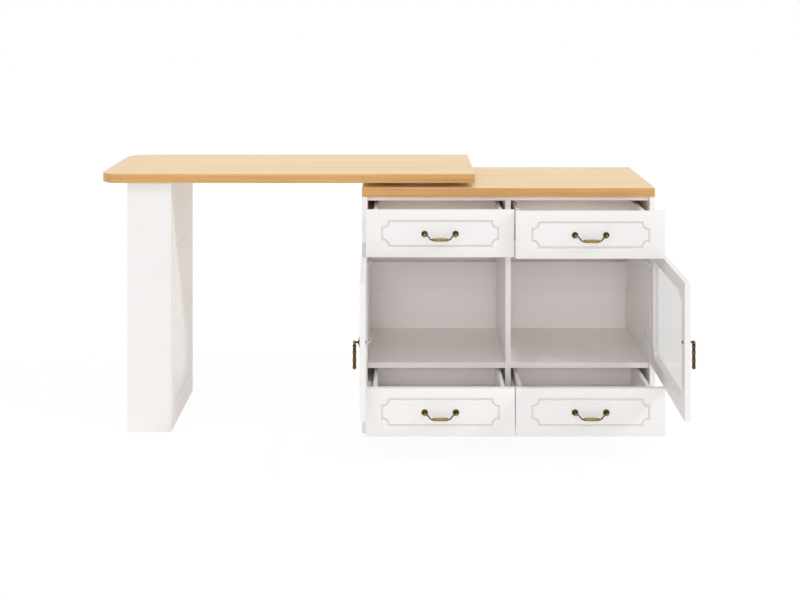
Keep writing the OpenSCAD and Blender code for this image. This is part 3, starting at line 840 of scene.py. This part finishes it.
@dataclass(frozen=True)
class CrossScrew:
    """A pan-head screw with a cross recess, drawn along Z from the face that it sits on."""

    radius: float = 3.4
    height: float = 1.8
    rubbed: float = 1.0
    arm: float = 0.46
    half_slot: float = 0.11
    taper: float = 0.7
    pit: float = 0.45
    sides: int = 24

    def cross(self, scale: float, height: float) -> list[Point]:
        """Gives the outline of the recess.

        Args:
            scale: How wide it is, as a share of its width at the top.
            height: The height that it lies at.

        Returns:
            Its twelve points.
        """
        a, b = self.arm * self.radius * scale, self.half_slot * self.radius * scale
        outline = (
            (a, -b), (a, b), (b, b), (b, a), (-b, a), (-b, b),
            (-a, b), (-a, -b), (-b, -b), (-b, -a), (b, -a), (b, -b),
        )
        return [(x, y, height) for x, y in outline]

    def draw(self, shape: Shape, place: Matrix) -> None:
        """Adds the screw's head.

        Args:
            shape: The mesh that it joins.
            place: Where the head's underside stands.
        """
        r, h = self.radius, self.height
        profile = ((r, 0.0, 0.1), (r, 0.35 * h, 0.4), (0.86 * r, 0.78 * h, 0.8), (0.62 * r, h, 1.0))
        rings = []
        for wide, high, wear in profile:
            rings.append(shape.ring(circle(wide, high, self.sides), place, wear * self.rubbed))
        shape.skin(rings, (True, False))
        rim = shape.ring(self.cross(1.0, h), place)
        floor = shape.ring(self.cross(self.taper, self.pit * h), place)
        shape.fill(rings[-1], rim)
        shape.skin([rim, floor], (False, True))


@dataclass(frozen=True)
class PullPost:
    """A turned post: a beaded rosette, a thin neck, a collar, and a round head that carries the pin."""

    base: float
    reach: float
    head: float = 4.2
    head_turns: tuple[float, ...] = tuple(-45 + 11.5 * i for i in range(11))
    neck: float = 2.6
    screw: CrossScrew = CrossScrew(4.0, 2.5, 0.0)

    def profile(self) -> list[Point]:
        """Draws the post from the board's face to the tip.

        Returns:
            Radius, height and wear of each ring.
        """
        b, tip = self.base, self.reach
        rim = [
            (b, 0.0, 0.1), (b, 0.7, 0.5), (b - 0.35, 1.15, 0.8), (b - 0.9, 1.3, 0.5), (b - 1.3, 1.1, 0.0),
            (b - 1.8, 1.3, 0.0), (b - 2.3, 1.8, 0.15), (0.68 * b, 2.3, 0.0), (0.55 * b, 2.6, 0.0),
            (0.52 * b, 3.4, 0.2), (0.45 * b, 4.0, 0.3),
            (self.neck + 1.0, 4.8, 0.0), (self.neck + 0.2, 6.2, 0.0), (self.neck, 7.6, 0.0),
        ]
        seat = tip - self.head
        collar = [
            (self.neck, seat - 1.2, 0.0), (self.neck + 0.7, seat - 0.6, 0.3), (self.neck + 0.9, seat, 0.4),
            (self.neck + 0.4, seat + 0.7, 0.2),
        ]
        head = []
        for i, turn in enumerate(map(math.radians, self.head_turns)):
            head.append((self.head * math.cos(turn), tip + self.head * math.sin(turn), 0.25 + 0.06 * i))
        top = tip + self.head
        button = [(1.7, top + 0.2, 0.8), (1.6, top + 0.8, 1.0), (0.5, top + 1.1, 1.0)]
        return rim + collar + head + button

    def draw(self, shape: Shape, place: Matrix) -> None:
        """Adds the post and the head of its screw behind the board.

        Args:
            shape: The mesh that they join.
            place: The board's face, with Z outward.
        """
        shape.turned(self.profile(), place)
        behind = place @ Matrix.Translation((0, 0, -FRONT_BOARD)) @ Matrix.Rotation(math.pi, 4, "X")
        self.screw.draw(shape, behind)


@dataclass(frozen=True)
class DropBail:
    """A drop bail: pins, slim sloping arms and a swelling grip with beads."""

    pitch: float = 96.0
    pin_end: float = 51.2
    knuckle: float = 41.0
    grip: float = 58.0
    grip_end: float = 2.0
    drop: float = 14.5
    pin: float = 2.0
    pin_half: float = 4.5
    arm: float = 1.95
    waist: float = 1.95
    swell: float = 2.91
    bead: float = 0.35
    bead_in: float = 3.0
    bead_reach: float = 0.75
    collar: float = 0.5
    collar_reach: float = 2.4
    turn: float = 3.0
    turn_steps: int = 6
    grip_steps: int = 44

    def path(self) -> list[Vector]:
        """Draws one half's middle line.

        Returns:
            Its points, from the pin's end to the middle of the grip.
        """
        corners = [
            Vector((self.pin_end, 0.0)), Vector((self.knuckle, 0.0)),
            Vector((self.grip / 2, -self.drop)), Vector((0.0, -self.drop)),
        ]
        points = [corners[0]]
        for before, at, after in zip(corners, corners[1:], corners[2:]):
            enter = at + (before - at).normalized() * self.turn
            leave = at + (after - at).normalized() * self.turn
            for i in range(self.turn_steps + 1):
                t = i / self.turn_steps
                points.append((1 - t) ** 2 * enter + 2 * t * (1 - t) * at + t ** 2 * leave)
        last, end, steps = points[-1], corners[-1], self.grip_steps
        return points + [last.lerp(end, i / steps) for i in range(1, steps + 1)]

    def section(self, point: Vector) -> Flat:
        """Shapes the pin, the arm with its collar at the knuckle, and the grip with its swell and beads.

        Args:
            point: A point of the middle line.

        Returns:
            The radius and the wear there.
        """
        if point.x > self.pitch / 2 - self.pin_half:
            return self.pin, 0.2
        if point.y > -self.drop + 0.3:
            near = bump_at((point - Vector((self.knuckle, 0.0))).length, 0.0, self.collar_reach)
            return self.arm + self.collar * near, 0.15 + 0.4 * near
        share = max(0.0, 1.0 - abs(point.x) / (self.grip / 2 - self.grip_end))
        body = math.sin(math.pi / 2 * min(1.0, 2.1 * share)) ** 0.85
        places = (self.grip / 2 - self.bead_in, self.grip / 6)
        beads = sum(bump_at(abs(point.x), at, self.bead_reach) for at in places)
        return self.waist + self.swell * body + self.bead * beads, 0.35 + 0.36 * body + 0.25 * beads

    def draw(self, shape: Shape) -> None:
        """Adds the bail, with its pivots on the X axis.

        Args:
            shape: The mesh that it joins.
        """
        half = [(p.x, p.y, *self.section(p)) for p in self.path()]
        other = [(-x, z, radius, wear) for x, z, radius, wear in reversed(half[:-1])]
        shape.swept(half + other)


@dataclass(frozen=True)
class Pendant:
    """A hanging pull: a turned bar with four swells, and a fork that holds it on the post's head."""

    length: float = 77.0
    radius: float = 5.5
    inner: float = 4.6
    cheek: float = 1.5
    cheek_radius: float = 3.2
    cheek_ease: float = 0.35
    bridge: float = 8.2
    bridge_thick: float = 2.0
    bridge_ease: float = 0.4
    button: tuple[Point, ...] = (
        (1.2, 0.0, 0.6), (2.8, 0.2, 0.9), (3.8, 0.9, 0.8), (4.1, 1.9, 0.6), (3.6, 2.7, 0.1),
    )
    button_height: float = 3.2
    necks: Point = (1 / 6, 1 / 2, 5 / 6)
    neck_reach: float = 0.012
    pin: tuple[Point, ...] = ((0.6, -0.7, 0.9), (1.5, -0.55, 0.8), (2.3, -0.1, 0.6), (2.4, 0.3, 0.3))
    steps: int = 60
    bar_sides: int = 32
    pin_sides: int = 24

    def bar(self) -> list[Point]:
        """Draws the turned bar from its foot to the fork, with a fine ring in each neck between two swells.

        Returns:
            Radius, height and wear of each ring.
        """
        foot, top = -self.length + self.button_height, -self.bridge + 0.6
        rows = [(radius, -self.length + height, wear) for radius, height, wear in self.button]
        for i in range(self.steps + 1):
            t = i / self.steps
            swell = math.cos(3 * math.pi * t) ** 2
            ring = sum(bump_at(t, at, self.neck_reach) for at in self.necks)
            radius = self.radius * (0.79 + 0.2 * swell) + 0.5 * ring
            rows.append((radius, foot + (top - foot) * t, 0.05 + 0.42 * swell + 0.25 * ring))
        return rows

    def draw(self, shape: Shape) -> None:
        """Adds the pendant, with its pivot on the X axis and its front toward -Y.

        Args:
            shape: The mesh that it joins.
        """
        shape.turned(self.bar(), steps=self.bar_sides)
        r, low = self.cheek_radius, -self.bridge
        dome = [(r * math.cos(math.radians(a)), r * math.sin(math.radians(a))) for a in range(0, 181, 15)]
        outline = [(r, low), *dome, (-r, low)]
        for side in (-1, 1):
            at = side * (self.inner + self.cheek / 2)
            stand = Matrix(((0, 0, 1, at), (1, 0, 0, 0), (0, 1, 0, 0), (0, 0, 0, 1)))
            shape.plate(outline, (-self.cheek / 2, self.cheek / 2), self.cheek_ease, stand)
        reach = self.inner + self.cheek
        bridge = [(-reach, -r), (reach, -r), (reach, r), (-reach, r)]
        shape.plate(bridge, (low, low + self.bridge_thick), self.bridge_ease)
        far = [(radius, 2 * reach - height, wear) for radius, height, wear in reversed(self.pin)]
        shape.turned([*self.pin, *far], toward((1, 0, 0), (-reach, 0, 0)), self.pin_sides)


@dataclass(frozen=True)
class Carcass:
    """The cabinet's boards, fixed slide members, hinge arms and glides."""

    shop: Workshop
    boards: tuple[str, ...] = (
        "side_panel_left", "side_panel_right", "centre_divider", "bottom_panel", "decks", "back_panel",
        "cross_rails", "toe_kick", "slide_packers",
    )
    panel_screw: CrossScrew = CrossScrew(3.6, 1.6)
    panel_inset: float = 9.0
    panel_inset_top: float = 7.5
    panel_spaces: int = 6
    divider_spaces: int = 4
    plate_screw: CrossScrew = CrossScrew(3.0, 1.2)
    plate_face: float = 459.5
    plate_depth: float = -157.4
    plate_half_pitch: float = 13.5
    arm_screw: CrossScrew = CrossScrew(2.8, 1.0)
    arm_face: float = 450.3
    arm_depths: Flat = (-171.0, -149.0)

    def back_screws(self) -> None:
        """Makes the screws that hold the back panel to the boards in front of it."""
        low, high = span("back_panel")
        places = []
        for i in range(self.panel_spaces + 1):
            x = low.x + self.panel_inset + (high.x - low.x - 2 * self.panel_inset) * i / self.panel_spaces
            places += [(x, low.z + self.panel_inset), (x, high.z - self.panel_inset_top)]
        for i in range(1, self.divider_spaces):
            places.append((0.0, low.z + (high.z - low.z) * i / self.divider_spaces))
        shape = Shape("back_panel_screws")
        for x, z in places:
            self.panel_screw.draw(shape, toward((0, 1, 0), (x, high.y, z)))
        shape.piece(Paint.STEEL, self.shop, "cabinet")

    def hinge_screws(self) -> None:
        """Makes the screws of the hinge plates and the two adjusting screws on each arm."""
        shape = Shape("hinge_arm_screws")
        for side in (-1, 1):
            for z in HINGE_HEIGHTS:
                for way in (-1, 1):
                    at = (side * self.plate_face, self.plate_depth, z + way * self.plate_half_pitch)
                    self.plate_screw.draw(shape, toward((-side, 0, 0), at))
                for y in self.arm_depths:
                    self.arm_screw.draw(shape, toward((-side, 0, 0), (side * self.arm_face, y, z)))
        shape.piece(Paint.STEEL, self.shop, "cabinet")

    def build(self) -> None:
        """Dresses the boards and fittings."""
        for node in self.boards:
            self.shop.soften(node, Paint.WHITE)
        self.shop.smooth("worktop", Paint.OAK)
        self.shop.smooth("cabinet_glides", Paint.NYLON)
        self.shop.soften("slide_cabinet_members", Paint.SLIDE, 0.3)
        self.shop.soften("hinge_arms", Paint.STEEL, 0.4)
        for node in ("swivel_base", "swivel_balls"):
            self.shop.smooth(node, Paint.STEEL)
        self.back_screws()
        self.hinge_screws()


@dataclass(frozen=True)
class SwivelTable:
    """The table top on its boxed leg."""

    shop: Workshop

    def build(self) -> None:
        """Dresses the top and the leg."""
        self.shop.smooth("table_top", Paint.OAK)
        self.shop.soften("leg_end_panels", Paint.FRONT)
        for node in ("leg_inner_panel", "leg_outer_panel", "leg_blocking"):
            self.shop.soften(node, Paint.WHITE)
        self.shop.smooth("leg_glides", Paint.NYLON)
        self.shop.smooth("swivel_ring", Paint.STEEL)


@dataclass(frozen=True)
class Door:
    """A glazed door with its hinges and hanging pull, drawn closed in the left bay and then swung open."""

    shop: Workshop
    side: str
    axis: Flat = (-474.0, -196.0)
    opened: float = 88.8
    left: float = -460.5
    right: float = -1.2
    low: float = 234.9
    high: float = 627.9
    face: float = -200.0
    stile: float = 47.0
    pane_front: float = -197.0
    pane_back: float = -193.0
    bead_back: float = -183.4
    bead_rim: float = 7.75
    bead_gap: float = 0.05
    pull_base: float = 16.0
    pull_height: float = 218.0
    pull_reach: float = 15.0
    cup_screw: CrossScrew = CrossScrew(3.6, 1.3)
    cup_screw_in: float = 16.5
    cup_half_pitch: float = 24.0
    cup_flange: float = 0.8

    def swung(self) -> Matrix:
        """Swings a piece of the closed left door to where this door's piece stands.

        Returns:
            The placement.
        """
        pivot = Matrix.Translation((self.axis[0], self.axis[1], 0))
        turn = Matrix.Rotation(-math.radians(self.opened), 4, "Z")
        return bay(self.side) @ pivot @ turn @ pivot.inverted()

    def opening(self) -> tuple[Notched, Matrix]:
        """Gives the opening of the closed left door.

        Returns:
            Its outline and the placement of its middle.
        """
        half = ((self.right - self.left) / 2 - self.stile, (self.high - self.low) / 2 - self.stile)
        middle = ((self.left + self.right) / 2, 0, (self.low + self.high) / 2)
        return Notched(half), Matrix.Translation(middle)

    def pane(self) -> None:
        """Makes the pane, as much of it as the opening shows."""
        node = f"{self.side}_door_glass"
        opening, at = self.opening()
        shape = Shape(f"{node}_seen")
        shape.skin([shape.ring(opening.loop(0.0, depth), at) for depth in (self.pane_front, self.pane_back)])
        shape.piece(Paint.PANE, self.shop, f"{self.side}_door", node, place=self.swung())

    def bead(self) -> None:
        """Makes the moulded frame that holds the pane, with a lip round it and corners like the fronts'."""
        node = f"{self.side}_glass_retainer"
        opening, at = self.opening()
        lip, back, front = self.pane_front + self.bead_gap, self.bead_back, self.pane_back + self.bead_gap
        section = (
            (-0.1, lip), (-0.1, front), (0.0, front), (0.0, front + 2.2), (-1.0, front + 3.0),
            (-2.4, front + 3.8), (-3.2, front + 5.2), (-3.6, front + 6.8), (-4.6, back - 0.3), (-5.4, back),
        )
        shape = Shape(f"{node}_moulded")
        rings = [shape.ring(opening.loop(inset, depth), at) for inset, depth in section]
        shape.skin(rings, (False, False))
        joint = ((-self.bead_rim + 1.2, back), (-self.bead_rim, back - 1.3), (-self.bead_rim, lip))
        outer = [shape.ring(rectangle(opening.half, inset, depth), at) for inset, depth in joint]
        shape.skin(outer, (False, False))
        shape.fill(outer[0], rings[-1])
        shape.fill(outer[-1], rings[0])
        shape.piece(Paint.WHITE, self.shop, f"{self.side}_door", node, place=self.swung())

    def pull(self) -> None:
        """Makes the post and the hanging pull."""
        x, z = self.right - self.stile / 2, self.low + self.pull_height
        node = f"{self.side}_pull_post"
        post = Shape(f"{node}_turned")
        PullPost(self.pull_base, self.pull_reach).draw(post, toward((0, -1, 0), (x, self.face, z)))
        post.piece(Paint.BRASS, self.shop, f"{self.side}_door", node, place=self.swung())
        node = f"{self.side}_pendant"
        bar = Shape(f"{node}_turned")
        Pendant().draw(bar)
        place = self.swung() @ Matrix.Translation((x, self.face - self.pull_reach, z))
        bar.piece(Paint.BRASS, self.shop, node, node, place=place)

    def cup_screws(self) -> None:
        """Makes the screws in the ears of the hinge cups."""
        shape = Shape(f"{self.side}_hinge_cup_screws")
        x, y = self.left + self.cup_screw_in, self.face + FRONT_BOARD + self.cup_flange
        for z in HINGE_HEIGHTS:
            for way in (-1, 1):
                self.cup_screw.draw(shape, toward((0, 1, 0), (x, y, z + way * self.cup_half_pitch)))
        shape.piece(Paint.STEEL, self.shop, f"{self.side}_door", place=self.swung())

    def build(self) -> None:
        """Makes the door's own pieces and dresses the rest."""
        self.shop.soften(f"{self.side}_door_frame", Paint.FRONT)
        for fitting in ("hinge_cups", "hinge_links"):
            self.shop.soften(f"{self.side}_{fitting}", Paint.STEEL, 0.25)
        self.pane()
        self.bead()
        self.pull()
        self.cup_screws()


@dataclass(frozen=True)
class Drawer:
    """A drawer with its routed front, box, slides and drop bail.

    The routed line's section is given as distance inward, depth and painted shade, from its outer to its
    inner edge.
    """

    shop: Workshop
    place: str
    margin: Flat = (47.0, 31.0)
    # Third column: painted shade, full across the routed line and fading at its edges
    section: tuple[Point, ...] = (
        (0.0, 0.0, 0.0), (0.35, 0.6, 0.7), (1.2, 2.1, 1.0), (2.3, 2.85, 1.0), (3.3, 3.0, 1.0),
        (4.4, 2.7, 1.0), (5.6, 1.7, 0.9), (6.6, 0.5, 0.6), (7.0, 0.0, 0.0),
    )
    eased: tuple[Flat, ...] = ((1.3, 0.0), (0.4, 0.35), (0.0, 1.2))
    back_ease: float = 0.8
    post_base: float = 10.0
    post_reach: float = 18.0
    post_pitch: float = 96.0
    slide_screw: CrossScrew = CrossScrew(3.2, 1.4)
    slide_screw_in: float = 11.5
    slide_screws_at: Point = (38.0, 166.0, 294.0)

    def front(self) -> None:
        """Makes the front with its eased edges and the routed line."""
        node = f"{self.place}_front"
        low, high = span(node)
        half = ((high.x - low.x) / 2, (high.z - low.z) / 2)
        at = Matrix.Translation(((low.x + high.x) / 2, low.y, (low.z + high.z) / 2))
        thick = high.y - low.y
        shape = Shape(f"{node}_routed")
        back = [(0.0, thick - self.back_ease), (self.back_ease, thick)]
        rims = [shape.ring(rectangle(half, inset, depth), at) for inset, depth in (*self.eased, *back)]
        shape.skin(rims, (False, True))
        line = Notched((half[0] - self.margin[0], half[1] - self.margin[1]))
        rings = [shape.ring(line.loop(inset, depth), at, painted_groove_shade) for inset, depth, painted_groove_shade in self.section]
        shape.skin(rings, (False, True))
        shape.fill(rims[0], rings[0])
        shape.piece(Paint.FRONT, self.shop, f"{self.place}_drawer", node)

    def pull(self) -> None:
        """Makes the two posts and the drop bail."""
        low, high = span(f"{self.place}_front")
        middle = Vector(((low.x + high.x) / 2, low.y, (low.z + high.z) / 2))
        node = f"{self.place}_posts"
        posts = Shape(f"{node}_turned")
        for way in (-1, 1):
            at = middle + Vector((way * self.post_pitch / 2, 0, 0))
            PullPost(self.post_base, self.post_reach).draw(posts, toward((0, -1, 0), at))
        posts.piece(Paint.BRASS, self.shop, f"{self.place}_drawer", node)
        node = f"{self.place}_bail"
        bail = Shape(f"{node}_turned")
        DropBail(self.post_pitch).draw(bail)
        place = Matrix.Translation(middle - Vector((0, self.post_reach, 0)))
        bail.piece(Paint.BRASS, self.shop, node, node, place=place)

    def slide_screws(self) -> None:
        """Makes the screws that hold the inner slide members to the box."""
        low, high = span(f"{self.place}_slide")
        shape = Shape(f"{self.place}_slide_screws")
        for x, way in ((low.x + self.slide_screw_in, -1), (high.x - self.slide_screw_in, 1)):
            for along in self.slide_screws_at:
                at = (x, low.y + along, (low.z + high.z) / 2)
                self.slide_screw.draw(shape, toward((way, 0, 0), at))
        shape.piece(Paint.STEEL, self.shop, f"{self.place}_drawer")

    def build(self) -> None:
        """Makes the drawer's own pieces and dresses the rest."""
        self.shop.soften(f"{self.place}_box", Paint.WHITE, 0.8)
        for member in ("slide", "slide_middle"):
            self.shop.soften(f"{self.place}_{member}", Paint.SLIDE, 0.3)
        self.front()
        self.pull()
        self.slide_screws()


def corners(low_high: tuple[Vector, Vector]) -> dict[str, list[float]]:
    """Gives a box's corners as plain lists."""
    return {"low": list(low_high[0]), "high": list(low_high[1])}


def main() -> None:
    """Builds the studio and every sub-assembly in order."""
    logging.basicConfig(level=logging.INFO, format="%(message)s")
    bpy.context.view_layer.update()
    Studio().build()
    shop = Workshop()
    Carcass(shop).build()
    SwivelTable(shop).build()
    for side in ("left", "right"):
        Door(shop, side).build()
    for place in ("upper_left", "upper_right", "lower_left", "lower_right"):
        Drawer(shop, place).build()


if __name__ == "__main__":
    main()
